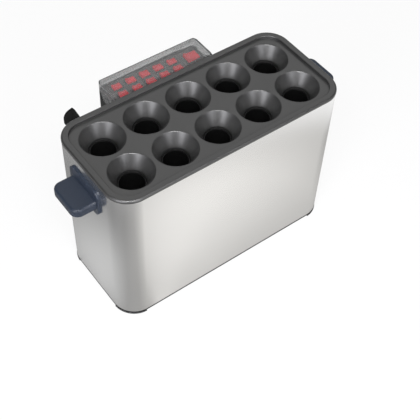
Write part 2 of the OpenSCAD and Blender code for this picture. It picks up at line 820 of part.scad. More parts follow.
module block(l, w, z0, z1) {
    translate([-l / 2, -w / 2, z0]) cube([l, w, z1 - z0]);
}

// Body of a switch, with its bezel, its pivot holes and three terminal blades
module switch_case(l, w) {
    case_z = panel_top - switch_d;
    difference() {
        union() {
            block(case_l(l) + 2 * bezel_w, case_w(w) + 2 * bezel_w, panel_top, panel_top + bezel_t);
            block(case_l(l), case_w(w), case_z, panel_top + past / 2);
        }
        block(room_l(l), room_w(w), pivot_z - 2 * rocker_d - past, panel_top + bezel_t + past);
        translate([0, 0, pivot_z]) rod_y_way(pivot_r + turn_fit, -case_w(w) / 2, case_w(w) / 2);
    }
    for (k = [-1, 0, 1])
        translate([k * blade_gap, 0, 0]) block(blade_t, blade_w, case_z - blade_h, case_z);
}

// Rocker with its pivot stubs, tilted so that its left end stands up
module rocker(l, w) {
    rise = crown_z + l / 2 * tan(rocker_slope);
    translate([0, 0, pivot_z]) rotate([0, rocker_tilt, 0]) {
        rotate([90, 0, 0])
            linear_extrude(w, center = true)
                polygon([
                    [-l / 2, -rocker_d], [l / 2, -rocker_d], [l / 2, rise], [0, crown_z], [-l / 2, rise]
                ]);
        rod_y_way(pivot_r, -case_w(w) / 2 + turn_fit, case_w(w) / 2 - turn_fit);
    }
}

module switch_panel() color([0.07, 0.07, 0.07]) {
    low = panel_z - past;
    high = panel_top + past;
    difference() {
        translate([-inner_x + slide_fit, panel_near, panel_z])
            cube([2 * (inner_x - slide_fit), panel_far - panel_near, panel_t]);
        // Room for the lugs of the hinge
        for (s = [0, 1]) mirror([s, 0, 0])
            translate([inner_x - slide_fit, stem_y, low]) cube([box_wall, 2 * lug_r, high - low]);
        for (i = [1:TUBES]) translate([switch_at(i)[0], switch_at(i)[1], 0])
            block(case_l(rocker_l) + 2 * turn_fit, case_w(rocker_w) + 2 * turn_fit, low, high);
        translate([power_x, back_y + power_y, 0])
            block(case_l(power_l) + 2 * turn_fit, case_w(power_w) + 2 * turn_fit, low, high);
        for (p = panel_screw_places)
            translate([p[0], p[1], low]) cylinder(r = panel_screw_r + slide_fit, h = high - low);
    }
}

module panel_screws() color([0.3, 0.3, 0.3]) {
    head_h = 1.4;
    for (p = panel_screw_places) translate([p[0], p[1], 0]) {
        translate([0, 0, panel_top]) cylinder(r = panel_screw_head, h = head_h);
        translate([0, 0, panel_z - panel_screw_l])
            cylinder(r = panel_screw_r, h = panel_screw_l + panel_t + head_h / 2);
    }
}

module switch_housings() color([0.04, 0.04, 0.04]) {
    for (i = [1:TUBES]) translate([switch_at(i)[0], switch_at(i)[1], 0]) switch_case(rocker_l, rocker_w);
}

module power_switch_housing() color([0.04, 0.04, 0.04]) {
    translate([power_x, back_y + power_y, 0]) switch_case(power_l, power_w);
}

module switch_rocker(i) color([0.75, 0.1, 0.13]) {
    translate([switch_at(i)[0], switch_at(i)[1], 0]) rocker(rocker_l, rocker_w);
}

module power_rocker() color([0.75, 0.1, 0.13]) {
    translate([power_x, back_y + power_y, 0]) rocker(power_l, power_w);
}

// Wiring

// Trunk between the rows of tubes, a lead to each heater, and the feed to the switches
module wiring_loom() color([0.25, 0.22, 0.2]) {
    bus_y = back_y + switch_mid_y;
    blade_z = panel_top - switch_d - blade_h;
    row_near = switch_at(1)[1];
    row_far = switch_at(TUBES)[1];
    block_y = hole_pitch / 2 - heater_out - heater_block_d;
    riser_h = blade_z - wire_z + wire_r;
    strip_top = box_z + box_wall + strip_h;
    translate([0, 0, wire_z]) {
        rod_x_way(bundle_r, hole_at(1)[0], hole_at(COLS)[0]);
        for (i = [1:COLS]) translate([hole_at(i)[0], 0, 0]) rod_y_way(wire_r, -block_y, block_y);
        translate([feed_x, 0, 0]) rod_y_way(bundle_r, 0, bus_y);
        translate([0, bus_y, 0]) rod_x_way(bundle_r, switch_at(1)[0], power_x);
        for (i = [1:COLS]) translate([switch_at(i)[0], 0, 0]) rod_y_way(wire_r, row_near, row_far);
        translate([power_x, 0, 0]) rod_y_way(wire_r, bus_y, back_y + power_y);
    }
    for (i = [1:TUBES])
        translate([switch_at(i)[0], switch_at(i)[1], wire_z - wire_r]) cylinder(r = wire_r, h = riser_h);
    translate([power_x, back_y + power_y, wire_z - wire_r]) cylinder(r = wire_r, h = riser_h);
    translate([0, bus_y, strip_top]) cylinder(r = wire_r, h = wire_z - strip_top);
}

module wire_grommet() color([0.08, 0.08, 0.08]) {
    outer = bundle_r + grommet_t;
    seat_in = back_y - sheet_t;
    seat_out = back_y + box_wall;
    translate([feed_x, 0, wire_z]) difference() {
        union() {
            rod_y_way(outer, seat_in - grommet_flange, seat_out + grommet_flange);
            rod_y_way(outer + grommet_flange, seat_in - grommet_flange, seat_in);
            rod_y_way(outer + grommet_flange, seat_out, seat_out + grommet_flange);
        }
        rod_y_way(bundle_r + slide_fit, 0, box_far);
    }
}

module terminal_block() color([0.75, 0.73, 0.66]) {
    ways = 5;
    hole_r = 2;
    translate([0, back_y + switch_mid_y, box_z + box_wall]) difference() {
        block(strip_l, strip_w, 0, strip_h);
        for (k = [0:ways - 1], s = [-1, 1])
            if (k != (ways - 1) / 2)
                translate([(k - (ways - 1) / 2) * strip_l / ways, s * strip_w / 4, strip_h / 2])
                    cylinder(r = hole_r, h = strip_h);
    }
}

module cord_gland() color([0.05, 0.05, 0.05]) {
    flange_r = gland_r + gland_wall;
    flange_h = gland_wall;
    translate([gland_x, back_y + gland_y, 0]) difference() {
        union() {
            translate([0, 0, box_z - gland_neck])
                cylinder(r = gland_r, h = gland_neck + box_wall + flange_h);
            translate([0, 0, box_z - flange_h]) cylinder(r = flange_r, h = flange_h);
            translate([0, 0, box_z + box_wall]) cylinder(r = flange_r, h = flange_h);
        }
        translate([0, 0, box_z - gland_neck - past])
            cylinder(r = gland_bore_r, h = gland_neck + box_wall + flange_h + 2 * past);
    }
}

// Cord hook on the back wall

module cord_hook() color([0.05, 0.05, 0.05]) {
    base_x = hook_x - hook_t / 2;
    difference() {
        union() {
            translate([base_x, back_y, hook_mid_z - hook_h / 2])
                cube([hook_base_w / 2 + hook_t, hook_base_t, hook_h]);
            translate([hook_x, back_y, hook_mid_z]) rotate(hook_turn) {
                rotate([90, 0, 90]) linear_extrude(hook_t, center = true) polygon([
                    [hook_base_t / 2, -hook_h / 2], [hook_reach, -hook_h / 2], [hook_reach, hook_h / 2],
                    [hook_reach - hook_t, hook_h / 2],
                    [hook_reach - hook_t - hook_arm_run, hook_h / 2 - hook_arm_drop],
                    [hook_base_t / 2, hook_h / 2 - hook_arm_drop]
                ]);
                // Turned end, rounded at its free side
                intersection() {
                    translate([-hook_end_l + hook_t / 2, hook_reach - hook_t, -hook_h / 2])
                        cube([hook_end_l, hook_t, hook_h]);
                    translate([0, hook_reach, 0]) rotate([90, 0, 0])
                        linear_extrude(hook_t) rounded(2 * hook_end_l - hook_t, hook_h, hook_end_r);
                }
            }
        }
        translate([hook_x - hook_base_w, back_y - hook_base_w, 0])
            cube([2 * hook_base_w, hook_base_w, rim_top]);
        for (p = hook_screw_places) translate([p[0], 0, p[1]])
            rod_y_way(screw_r + slide_fit, back_y - past, back_y + hook_base_t + past);
    }
}

module hook_screws() color([0.3, 0.3, 0.3]) {
    seat = back_y + hook_base_t;
    for (p = hook_screw_places) translate([p[0], 0, p[1]]) {
        rod_y_way(screw_head_r, seat, seat + screw_head_h);
        rod_y_way(screw_r, back_y - sheet_t - screw_end, seat + past);
    }
}

placed() body_shell();
placed() top_tray();
placed() base_pan();
placed() corner_feet();
for (i = [1:TUBES]) {
    placed() cooking_tube(i);
    placed() heater_band(i);
    placed() switch_rocker(i);
}
placed() tube_thermostats();
placed() tie_rods();
placed() base_nuts();
placed() left_handle();
placed() right_handle();
placed() handle_screws();
placed() control_box();
placed() box_screws();
placed() switch_panel();
placed() panel_screws();
placed() switch_housings();
placed() power_switch_housing();
placed() power_rocker();
placed() clear_lid();
placed() lid_hinge_pins();
placed() wiring_loom();
placed() wire_grommet();
placed() terminal_block();
placed() cord_gland();
placed() cord_hook();
placed() hook_screws();
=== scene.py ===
import math

import bmesh
import bpy
from mathutils import Matrix, Vector


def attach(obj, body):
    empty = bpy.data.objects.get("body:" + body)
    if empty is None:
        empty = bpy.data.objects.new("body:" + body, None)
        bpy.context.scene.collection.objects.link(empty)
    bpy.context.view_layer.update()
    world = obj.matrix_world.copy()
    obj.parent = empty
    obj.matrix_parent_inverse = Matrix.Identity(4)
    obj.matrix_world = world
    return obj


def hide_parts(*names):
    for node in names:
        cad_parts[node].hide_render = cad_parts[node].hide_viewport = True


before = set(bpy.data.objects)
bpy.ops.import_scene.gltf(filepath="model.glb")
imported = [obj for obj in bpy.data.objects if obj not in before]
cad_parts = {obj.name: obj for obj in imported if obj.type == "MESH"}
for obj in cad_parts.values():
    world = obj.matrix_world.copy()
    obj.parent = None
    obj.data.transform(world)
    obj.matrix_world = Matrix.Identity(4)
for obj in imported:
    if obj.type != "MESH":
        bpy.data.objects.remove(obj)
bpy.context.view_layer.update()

# Viewpoint
# The cooker stands on a worktop and is looked down on from its front left corner,
# through a long lens, so that its upright edges stay nearly parallel.
eye = Vector((-0.50182, -0.67690, 1.05996))
azimuth, elevation, roll = (math.radians(angle) for angle in (-38.744, 51.145, 2.95))
backwards = Vector((
    math.sin(azimuth) * math.cos(elevation), -math.cos(azimuth) * math.cos(elevation), math.sin(elevation)
))
camera = bpy.data.objects.new("viewpoint", bpy.data.cameras.new("viewpoint"))
camera.data.lens = 75.68
camera.data.sensor_width = 36
turned = backwards.to_track_quat("Z", "Y").to_matrix().to_4x4()
camera.matrix_world = Matrix.Translation(eye) @ turned @ Matrix.Rotation(roll, 4, "Z")
bpy.context.scene.collection.objects.link(camera)
bpy.context.scene.camera = camera

# Corner feet
# Four curved pads of black rubber, one under each corner of the base, pressed into
# its band so that the cooker stands clear of the worktop by three millimetres.
mm = 0.001
body_y = -26.3 * mm
body_l, body_w, corner_r = 360 * mm, 160 * mm, 33.5 * mm
corners = [
    (sx * (body_l / 2 - corner_r), sy * (body_w / 2 - corner_r) + body_y, 0)
    for sx, sy in ((1, 1), (-1, 1), (-1, -1), (1, -1))
]


def add(tree, kind, feeds=None, **settings):
    """One node of a tree: settings are its properties, feeds its inputs' values or sources."""
    node = tree.nodes.new(kind)
    for name, value in settings.items():
        setattr(node, name, value)
    for name, value in (feeds or {}).items():
        if isinstance(value, bpy.types.NodeSocket):
            tree.links.new(value, node.inputs[name])
        else:
            node.inputs[name].default_value = value
    return node


def new_group(name, kind, takes, gives):
    """An empty node group with its ends: takes and gives name its sockets and their types."""
    group = bpy.data.node_groups.new(name, kind)
    for socket, (shape, value) in takes.items():
        made = group.interface.new_socket(socket, in_out="INPUT", socket_type=shape)
        if value is not None:
            made.default_value = value
    for socket, shape in gives.items():
        group.interface.new_socket(socket, in_out="OUTPUT", socket_type=shape)
    return group, group.nodes.new("NodeGroupInput").outputs, group.nodes.new("NodeGroupOutput").inputs


COLOUR, VALUE, SHAPE = "NodeSocketColor", "NodeSocketFloat", "NodeSocketGeometry"


def vary(tree, ends_in, ends_out, pattern, middle, amount, tone_gain, gloss_gain):
    """Let a pattern that swings about its middle lighten and dull a group's colour and gloss."""
    centred = add(tree, "ShaderNodeMath", {0: pattern, 1: middle}, operation="SUBTRACT").outputs[0]
    swing = add(tree, "ShaderNodeMath", {0: centred, 1: ends_in[amount]}, operation="MULTIPLY").outputs[0]
    tone = add(tree, "ShaderNodeMath", {0: swing, 1: tone_gain, 2: 1.0}, operation="MULTIPLY_ADD").outputs[0]
    shade = add(tree, "ShaderNodeVectorMath", {
        0: ends_in["Colour"], 1: tone,
    }, operation="MULTIPLY").outputs[0]
    gloss = add(tree, "ShaderNodeMath", {
        0: swing, 1: gloss_gain, 2: ends_in["Roughness"],
    }, operation="MULTIPLY_ADD").outputs[0]
    tree.links.new(shade, ends_out["Colour"])
    tree.links.new(gloss, ends_out["Roughness"])


# Grain of a moulding: slow mottling of its colour and gloss, and a fine pebbled skin
moulded, grain_in, grain_out = new_group("moulded grain", "ShaderNodeTree", {
    "Colour": (COLOUR, (0.1, 0.1, 0.1, 1)), "Grain": (VALUE, 1800.0), "Mottle": (VALUE, 0.12),
    "Roughness": (VALUE, 0.4),
}, {"Colour": COLOUR, "Roughness": VALUE, "Height": VALUE})
place = add(moulded, "ShaderNodeTexCoord").outputs["Object"]
slow = add(moulded, "ShaderNodeTexNoise", {"Vector": place, "Scale": 45.0, "Detail": 4.0}).outputs["Fac"]
pebble = add(moulded, "ShaderNodeTexNoise", {"Vector": place, "Scale": grain_in["Grain"], "Detail": 2.0})
vary(moulded, grain_in, grain_out, slow, middle=0.5, amount="Mottle", tone_gain=2.0, gloss_gain=1.0)
moulded.links.new(pebble.outputs["Fac"], grain_out["Height"])


def finish(name, effect, values, depth, **shader):
    """A material whose colour, gloss and relief come from one effect group."""
    material = bpy.data.materials.new(name)
    material.use_nodes = True
    tree = material.node_tree
    skin = tree.nodes["Principled BSDF"]
    source = add(tree, "ShaderNodeGroup", node_tree=effect)
    for socket, value in values.items():
        source.inputs[socket].default_value = value
    for socket, value in shader.items():
        skin.inputs[socket.replace("_", " ")].default_value = value
    relief = add(tree, "ShaderNodeBump", {
        "Height": source.outputs["Height"], "Distance": depth, "Strength": 0.5,
    })
    tree.links.new(source.outputs["Colour"], skin.inputs["Base Color"])
    tree.links.new(source.outputs["Roughness"], skin.inputs["Roughness"])
    tree.links.new(relief.outputs["Normal"], skin.inputs["Normal"])
    return material


def grown(name, tree, points, sizes, material):
    """The plain mesh that a Geometry Nodes tree makes on some points, as an object at the origin."""
    seed = bpy.data.meshes.new(name)
    seed.from_pydata(points, [], [])
    piece = bpy.data.objects.new(name, seed)
    bpy.context.scene.collection.objects.link(piece)
    maker = piece.modifiers.new("maker", "NODES")
    maker.node_group = tree
    values = dict(sizes, Material=material)
    for item in tree.interface.items_tree:
        if item.in_out == "INPUT" and item.name in values:
            maker[item.identifier] = values[item.name]
    made = bpy.data.meshes.new_from_object(piece.evaluated_get(bpy.context.evaluated_depsgraph_get()))
    piece.modifiers.remove(maker)
    piece.data = made
    made.name = name
    made.polygons.foreach_set("use_smooth", [True] * len(made.polygons))
    crease = math.radians(32)
    made.set_sharp_from_angle(angle=crease)
    return piece


pads, pad_in, pad_out = new_group("corner feet", "GeometryNodeTree", {
    "Corners": (SHAPE, None), "Radius": (VALUE, 0.03), "Width": (VALUE, 0.006), "Height": (VALUE, 0.002),
    "Sweep": (VALUE, 1.4), "Edge": (VALUE, 0.0005), "Material": ("NodeSocketMaterial", None),
}, {"Feet": SHAPE})
start = add(pads, "ShaderNodeMath", {0: math.pi / 2, 1: pad_in["Sweep"]}, operation="SUBTRACT").outputs[0]
half_start = add(pads, "ShaderNodeMath", {0: start, 1: 0.5}, operation="MULTIPLY").outputs[0]
line = add(pads, "GeometryNodeCurveArc", {
    "Resolution": 28, "Radius": pad_in["Radius"], "Start Angle": half_start, "Sweep Angle": pad_in["Sweep"],
})
level = add(pads, "GeometryNodeSetCurveNormal", {"Curve": line.outputs["Curve"]}, mode="Z_UP")
outline = add(pads, "GeometryNodeCurvePrimitiveQuadrilateral", {
    "Width": pad_in["Width"], "Height": pad_in["Height"],
})
soft = add(pads, "GeometryNodeFilletCurve", {
    "Curve": outline.outputs["Curve"], "Radius": pad_in["Edge"], "Count": 3,
}, mode="POLY")
strip = add(pads, "GeometryNodeCurveToMesh", {
    "Curve": level.outputs["Curve"], "Profile Curve": soft.outputs["Curve"], "Fill Caps": True,
})
half_h = add(pads, "ShaderNodeMath", {0: pad_in["Height"], 1: 0.5}, operation="MULTIPLY").outputs[0]
lift = add(pads, "ShaderNodeCombineXYZ", {"Z": half_h}).outputs[0]
raised = add(pads, "GeometryNodeTransform", {"Geometry": strip.outputs["Mesh"], "Translation": lift})
quarter = add(pads, "ShaderNodeMath", {
    0: add(pads, "GeometryNodeInputIndex").outputs[0], 1: math.pi / 2,
}, operation="MULTIPLY").outputs[0]
spots = add(pads, "GeometryNodeInstanceOnPoints", {
    "Points": pad_in["Corners"], "Instance": raised.outputs["Geometry"],
    "Rotation": add(pads, "ShaderNodeCombineXYZ", {"Z": quarter}).outputs[0],
})
real = add(pads, "GeometryNodeRealizeInstances", {"Geometry": spots.outputs["Instances"]})
coated = add(pads, "GeometryNodeSetMaterial", {
    "Geometry": real.outputs["Geometry"], "Material": pad_in["Material"],
})
pads.links.new(coated.outputs["Geometry"], pad_out["Feet"])

black_rubber = finish("black rubber", moulded, {
    "Colour": (0.055, 0.055, 0.055, 1), "Grain": 1400.0, "Mottle": 0.2, "Roughness": 0.75,
}, 0.00012, Specular_IOR_Level=0.3)
foot_w = 6 * mm
feet = grown("rubber_feet", pads, corners, {
    "Radius": corner_r + 0.4 * mm - foot_w / 2, "Width": foot_w, "Height": 3 * mm, "Sweep": math.radians(84),
    "Edge": 0.5 * mm,
}, black_rubber)
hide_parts("corner_feet")
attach(feet, "cooker")

# Base pan
# A shallow pan moulded in black plastic closes the sleeve from below; its band shows
# as a thin dark line under the steel, and its lip stands up inside the sleeve.


def eased(name, node, body, material, ease, over=35, crease=30):
    """A node's own shape with its cut edges broken by a small round, as a finished piece has them."""
    weld, flat = 1e-6, math.radians(0.4)
    form = bmesh.new()
    form.from_mesh(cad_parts[node].data)
    bmesh.ops.remove_doubles(form, verts=form.verts, dist=weld)
    bmesh.ops.dissolve_limit(form, angle_limit=flat, verts=form.verts, edges=form.edges)
    cut = [e for e in form.edges if len(e.link_faces) == 2 and e.calc_face_angle() > math.radians(over)]
    bmesh.ops.bevel(
        form, geom=cut, offset=ease, offset_type="OFFSET", segments=2, profile=0.5, affect="EDGES",
        clamp_overlap=True,
    )
    mesh = bpy.data.meshes.new(name)
    form.to_mesh(mesh)
    form.free()
    mesh.polygons.foreach_set("use_smooth", [True] * len(mesh.polygons))
    mesh.set_sharp_from_angle(angle=math.radians(crease))
    mesh.materials.append(material)
    piece = bpy.data.objects.new(name, mesh)
    bpy.context.scene.collection.objects.link(piece)
    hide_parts(node)
    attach(piece, body)
    return piece


black_plastic = finish("black plastic", moulded, {
    "Colour": (0.014, 0.014, 0.014, 1), "Grain": 2200.0, "Mottle": 0.14, "Roughness": 0.44,
}, 0.00005)
dull_black = finish("dull black plastic", moulded, {
    "Colour": (0.008, 0.008, 0.008, 1), "Grain": 2200.0, "Mottle": 0.14, "Roughness": 0.7,
}, 0.00005, Specular_IOR_Level=0.15)
eased("base_trim", "base_pan", "cooker", dull_black, 0.2 * mm)

# Sleeve
# One strip of polished stainless sheet, rolled round the four upright corners and
# welded at the back; rolling leaves faint level lines in its polish.
brushed, lines_in, lines_out = new_group("brushed lines", "ShaderNodeTree", {
    "Colour": (COLOUR, (0.8, 0.8, 0.8, 1)), "Lines": (VALUE, 900.0), "Contrast": (VALUE, 0.1),
    "Roughness": (VALUE, 0.3),
}, {"Colour": COLOUR, "Roughness": VALUE, "Height": VALUE})
place = add(brushed, "ShaderNodeTexCoord").outputs["Object"]
stretch = add(brushed, "ShaderNodeCombineXYZ", {"X": 3.0, "Y": 3.0, "Z": lines_in["Lines"]}).outputs[0]
drawn = add(brushed, "ShaderNodeVectorMath", {0: place, 1: stretch}, operation="MULTIPLY").outputs[0]
streak = add(brushed, "ShaderNodeTexNoise", {"Vector": drawn, "Scale": 1.0, "Detail": 3.0}).outputs["Fac"]
vary(brushed, lines_in, lines_out, streak, middle=0.5, amount="Contrast", tone_gain=1.0, gloss_gain=1.0)
brushed.links.new(streak, lines_out["Height"])
polished_steel = finish("polished steel", brushed, {
    "Colour": (0.88, 0.878, 0.872, 1), "Lines": 2500.0, "Contrast": 0.05, "Roughness": 0.26,
}, 0.0000002, Metallic=1.0)
rolled, roll_in, roll_out = new_group("rolled sleeve", "GeometryNodeTree", {
    "Middle": (SHAPE, None), "Length": (VALUE, 0.36), "Width": (VALUE, 0.16), "Corner": (VALUE, 0.03),
    "Sheet": (VALUE, 0.001), "Height": (VALUE, 0.2), "Edge": (VALUE, 0.0003),
    "Material": ("NodeSocketMaterial", None),
}, {"Sleeve": SHAPE})


def less(tree, whole, part):
    """The difference of two sizes in a tree."""
    return add(tree, "ShaderNodeMath", {0: whole, 1: part}, operation="SUBTRACT").outputs[0]


plan = add(rolled, "GeometryNodeCurvePrimitiveQuadrilateral", {
    "Width": less(rolled, roll_in["Length"], roll_in["Sheet"]),
    "Height": less(rolled, roll_in["Width"], roll_in["Sheet"]),
})
half_sheet = add(rolled, "ShaderNodeMath", {0: roll_in["Sheet"], 1: 0.5}, operation="MULTIPLY").outputs[0]
bent = add(rolled, "GeometryNodeFilletCurve", {
    "Curve": plan.outputs["Curve"], "Radius": less(rolled, roll_in["Corner"], half_sheet), "Count": 32,
}, mode="POLY")
level = add(rolled, "GeometryNodeSetCurveNormal", {"Curve": bent.outputs["Curve"]}, mode="Z_UP")
sheet_end = add(rolled, "GeometryNodeCurvePrimitiveQuadrilateral", {
    "Width": roll_in["Sheet"], "Height": roll_in["Height"],
})
dressed_edge = add(rolled, "GeometryNodeFilletCurve", {
    "Curve": sheet_end.outputs["Curve"], "Radius": roll_in["Edge"], "Count": 3,
}, mode="POLY")
wall = add(rolled, "GeometryNodeCurveToMesh", {
    "Curve": level.outputs["Curve"], "Profile Curve": dressed_edge.outputs["Curve"],
})
stood = add(rolled, "GeometryNodeInstanceOnPoints", {
    "Points": roll_in["Middle"], "Instance": wall.outputs["Mesh"],
})
real = add(rolled, "GeometryNodeRealizeInstances", {"Geometry": stood.outputs["Instances"]})
coated = add(rolled, "GeometryNodeSetMaterial", {
    "Geometry": real.outputs["Geometry"], "Material": roll_in["Material"],
})
rolled.links.new(coated.outputs["Geometry"], roll_out["Sleeve"])
sleeve_low, sleeve_high = 5.5 * mm, 243.5 * mm
sleeve = grown("steel_sleeve", rolled, [(0, body_y, (sleeve_low + sleeve_high) / 2)], {
    "Length": body_l, "Width": body_w, "Corner": corner_r, "Sheet": 1 * mm,
    "Height": sleeve_high - sleeve_low, "Edge": 0.3 * mm,
}, polished_steel)
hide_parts("body_shell")
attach(sleeve, "cooker")

# Funnel tray
# A plate pressed from aluminium with ten funnels drawn into it and a raised rim that
# sits on the sleeve; sprayed and baked with a satin grey non-stick coat.
coating, coat_in, coat_out = new_group("coating speckle", "ShaderNodeTree", {
    "Colour": (COLOUR, (0.1, 0.1, 0.1, 1)), "Speckle": (VALUE, 2600.0), "Contrast": (VALUE, 0.2),
    "Roughness": (VALUE, 0.4),
}, {"Colour": COLOUR, "Roughness": VALUE, "Height": VALUE})
place = add(coating, "ShaderNodeTexCoord").outputs["Object"]
fine = add(coating, "ShaderNodeTexNoise", {"Vector": place, "Scale": coat_in["Speckle"], "Detail": 2.0})
cloud = add(coating, "ShaderNodeTexNoise", {"Vector": place, "Scale": 22.0, "Detail": 3.0}).outputs["Fac"]
mixed = add(coating, "ShaderNodeMath", {0: fine.outputs["Fac"], 1: cloud}, operation="ADD").outputs[0]
vary(coating, coat_in, coat_out, mixed, middle=1.0, amount="Contrast", tone_gain=1.0, gloss_gain=0.5)
coating.links.new(fine.outputs["Fac"], coat_out["Height"])
nonstick_grey = finish("grey non-stick", coating, {
    "Colour": (0.115, 0.115, 0.114, 1), "Speckle": 2600.0, "Contrast": 0.2, "Roughness": 0.46,
}, 0.00003, Metallic=0.85, Coat_Weight=0.4, Coat_Roughness=0.25)
eased("funnel_tray", "top_tray", "cooker", nonstick_grey, 0.5 * mm, over=25, crease=12)

# Cooking tubes
# Ten deep tubes closed at the bottom, spun from aluminium and coated black inside;
# each hangs by its shoulder under a funnel's collar, with its edge a step below it.
nonstick_black = finish("black non-stick", coating, {
    "Colour": (0.004, 0.004, 0.004, 1), "Speckle": 2200.0, "Contrast": 0.25, "Roughness": 0.34,
}, 0.00004, Specular_IOR_Level=0.35)
for number in range(1, 11):
    eased(
        f"roll_tube_{number}", f"cooking_tube_{number}", "cooker", nonstick_black, 0.5 * mm
    )

# Heaters and cut-outs
# A band of resistance foil in a rolled sheath is clamped round each tube, and a small
# bimetal cut-out sits under each tube's floor.
heater_sheath = finish("heater sheath", brushed, {
    "Colour": (0.50, 0.45, 0.38, 1), "Lines": 300.0, "Contrast": 0.3, "Roughness": 0.45,
}, 0.00005, Metallic=1.0)
cutout_metal = finish("cut-out metal", brushed, {
    "Colour": (0.60, 0.60, 0.58, 1), "Lines": 900.0, "Contrast": 0.2, "Roughness": 0.35,
}, 0.00002, Metallic=1.0)


def dressed(node, material):
    """A node that keeps its own mesh gets this piece's material."""
    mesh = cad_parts[node].data
    mesh.materials.clear()
    mesh.materials.append(material)


for number in range(1, 11):
    dressed(f"heater_band_{number}", heater_sheath)
dressed("tube_thermostats", cutout_metal)

# Tie rods and nuts
# Four zinc-plated rods hang from bosses under the tray and draw it down on the
# sleeve; a nut on each holds the base pan from below.
zinc_steel = finish("zinc plating", brushed, {
    "Colour": (0.58, 0.58, 0.57, 1), "Lines": 1500.0, "Contrast": 0.25, "Roughness": 0.32,
}, 0.00002, Metallic=1.0)
dressed("tie_rods", zinc_steel)
eased("rod_nuts", "base_nuts", "cooker", zinc_steel, 0.3 * mm)

# Handles
# Two hollow paddles moulded in navy plastic, each on its own plate, bolted from
# inside the sleeve to the middle of a short end just under the rim.
navy_plastic = finish("navy plastic", moulded, {
    "Colour": (0.025, 0.033, 0.050, 1), "Grain": 2000.0, "Mottle": 0.12, "Roughness": 0.38,
}, 0.00005, Specular_IOR_Level=0.36)
for side in ("left", "right"):
    eased(f"{side}_paddle", f"{side}_handle", "cooker", navy_plastic, 0.5 * mm)
dressed("handle_screws", zinc_steel)

# Switch box
# A deep black moulding on the back wall that houses the wiring and carries the
# switches on its open top; screwed on from inside the sleeve.
eased("switch_box", "control_box", "cooker", black_plastic, 0.6 * mm)
dressed("box_screws", zinc_steel)

# Wiring
# Sleeved leads run from the switches through a rubber grommet to the heaters, and
# the mains side ends on a pale ceramic strip in the bottom of the box.
wire_sleeve = finish("woven sleeve", coating, {
    "Colour": (0.22, 0.19, 0.17, 1), "Speckle": 1200.0, "Contrast": 0.7, "Roughness": 0.8,
}, 0.0003)
ceramic = finish("ceramic strip", coating, {
    "Colour": (0.72, 0.70, 0.63, 1), "Speckle": 900.0, "Contrast": 0.1, "Roughness": 0.5,
}, 0.00005)
dressed("wiring_loom", wire_sleeve)
dressed("wire_grommet", black_rubber)
dressed("terminal_block", ceramic)

# Switch panel
# A flat black plate dropped into the top of the box and held by four small screws;
# each of its windows takes one snap-in switch.
# Its dark grey is partly the plate's own colour and partly a faint red cast, painted bounce light from the
# red rockers.
panel_with_painted_bounce = finish("panel plastic with painted red bounce", moulded, {
    "Colour": (0.065, 0.052, 0.052, 1), "Grain": 2200.0, "Mottle": 0.14, "Roughness": 0.5,
}, 0.00005)
eased("switch_plate", "switch_panel", "cooker", panel_with_painted_bounce, 0.3 * mm)
dark_screw = finish("blackened screw", brushed, {
    "Colour": (0.10, 0.10, 0.10, 1), "Lines": 1500.0, "Contrast": 0.3, "Roughness": 0.4,
}, 0.00002, Metallic=1.0)
eased("plate_screws", "panel_screws", "cooker", dark_screw, 0.3 * mm)

# Switches
# Ten small rocker switches, one for each tube, and a large one for the mains; black
# snap-in bodies with a raised bezel hold glossy red rockers.
eased("switch_bodies", "switch_housings", "cooker", black_plastic, 0.25 * mm)
eased("mains_switch_body", "power_switch_housing", "cooker", black_plastic, 0.3 * mm)
red_plastic = finish("red plastic", moulded, {
    "Colour": (0.72, 0.012, 0.030, 1), "Grain": 500.0, "Mottle": 0.12, "Roughness": 0.24,
}, 0.00002, Specular_IOR_Level=0.3)
for number in range(1, 11):
    node = f"switch_rocker_{number}"
    eased(f"tube_rocker_{number}", node, node, red_plastic, 0.5 * mm)
eased("mains_rocker", "power_rocker", "power_rocker", red_plastic, 0.7 * mm)

# Clear lid
# A dust and splash cover moulded in clear plastic; it swings on two pins at the side
# of the box near the sleeve and has a half-round ear at each end.
clear_plastic = bpy.data.materials.new("clear plastic")
clear_plastic.use_nodes = True
tree = clear_plastic.node_tree
glass = tree.nodes["Principled BSDF"]
glass.inputs["Base Color"].default_value = (0.66, 0.66, 0.66, 1)
glass.inputs["Transmission Weight"].default_value = 0.94
glass.inputs["IOR"].default_value = 1.49
haze = add(tree, "ShaderNodeGroup", node_tree=moulded)
haze.inputs["Mottle"].default_value = 0.1
haze.inputs["Roughness"].default_value = 0.07
tree.links.new(haze.outputs["Roughness"], glass.inputs["Roughness"])
open_way = add(tree, "ShaderNodeBsdfTransparent", {"Color": (0.85, 0.87, 0.87, 1)})
ray = add(tree, "ShaderNodeLightPath")
either = add(tree, "ShaderNodeMixShader", {
    0: ray.outputs["Is Shadow Ray"], 1: glass.outputs[0], 2: open_way.outputs[0],
})
tree.links.new(either.outputs[0], tree.nodes["Material Output"].inputs["Surface"])
tint = add(tree, "ShaderNodeVolumeAbsorption", {"Color": (0.70, 0.72, 0.72, 1), "Density": 150.0})
tree.links.new(tint.outputs[0], tree.nodes["Material Output"].inputs["Volume"])
eased("splash_lid", "clear_lid", "lid", clear_plastic, 0.5 * mm)
dressed("lid_hinge_pins", zinc_steel)

# Cord gland and hook
# A rubber gland in the floor of the box lets the mains lead out, and an L-shaped
# hook moulded in black plastic is screwed to the back wall to wind it on.
eased("lead_gland", "cord_gland", "cooker", black_rubber, 0.5 * mm)
eased("winding_hook", "cord_hook", "cooker", dull_black, 0.8 * mm)
eased("hook_bolts", "hook_screws", "cooker", dark_screw, 0.4 * mm)
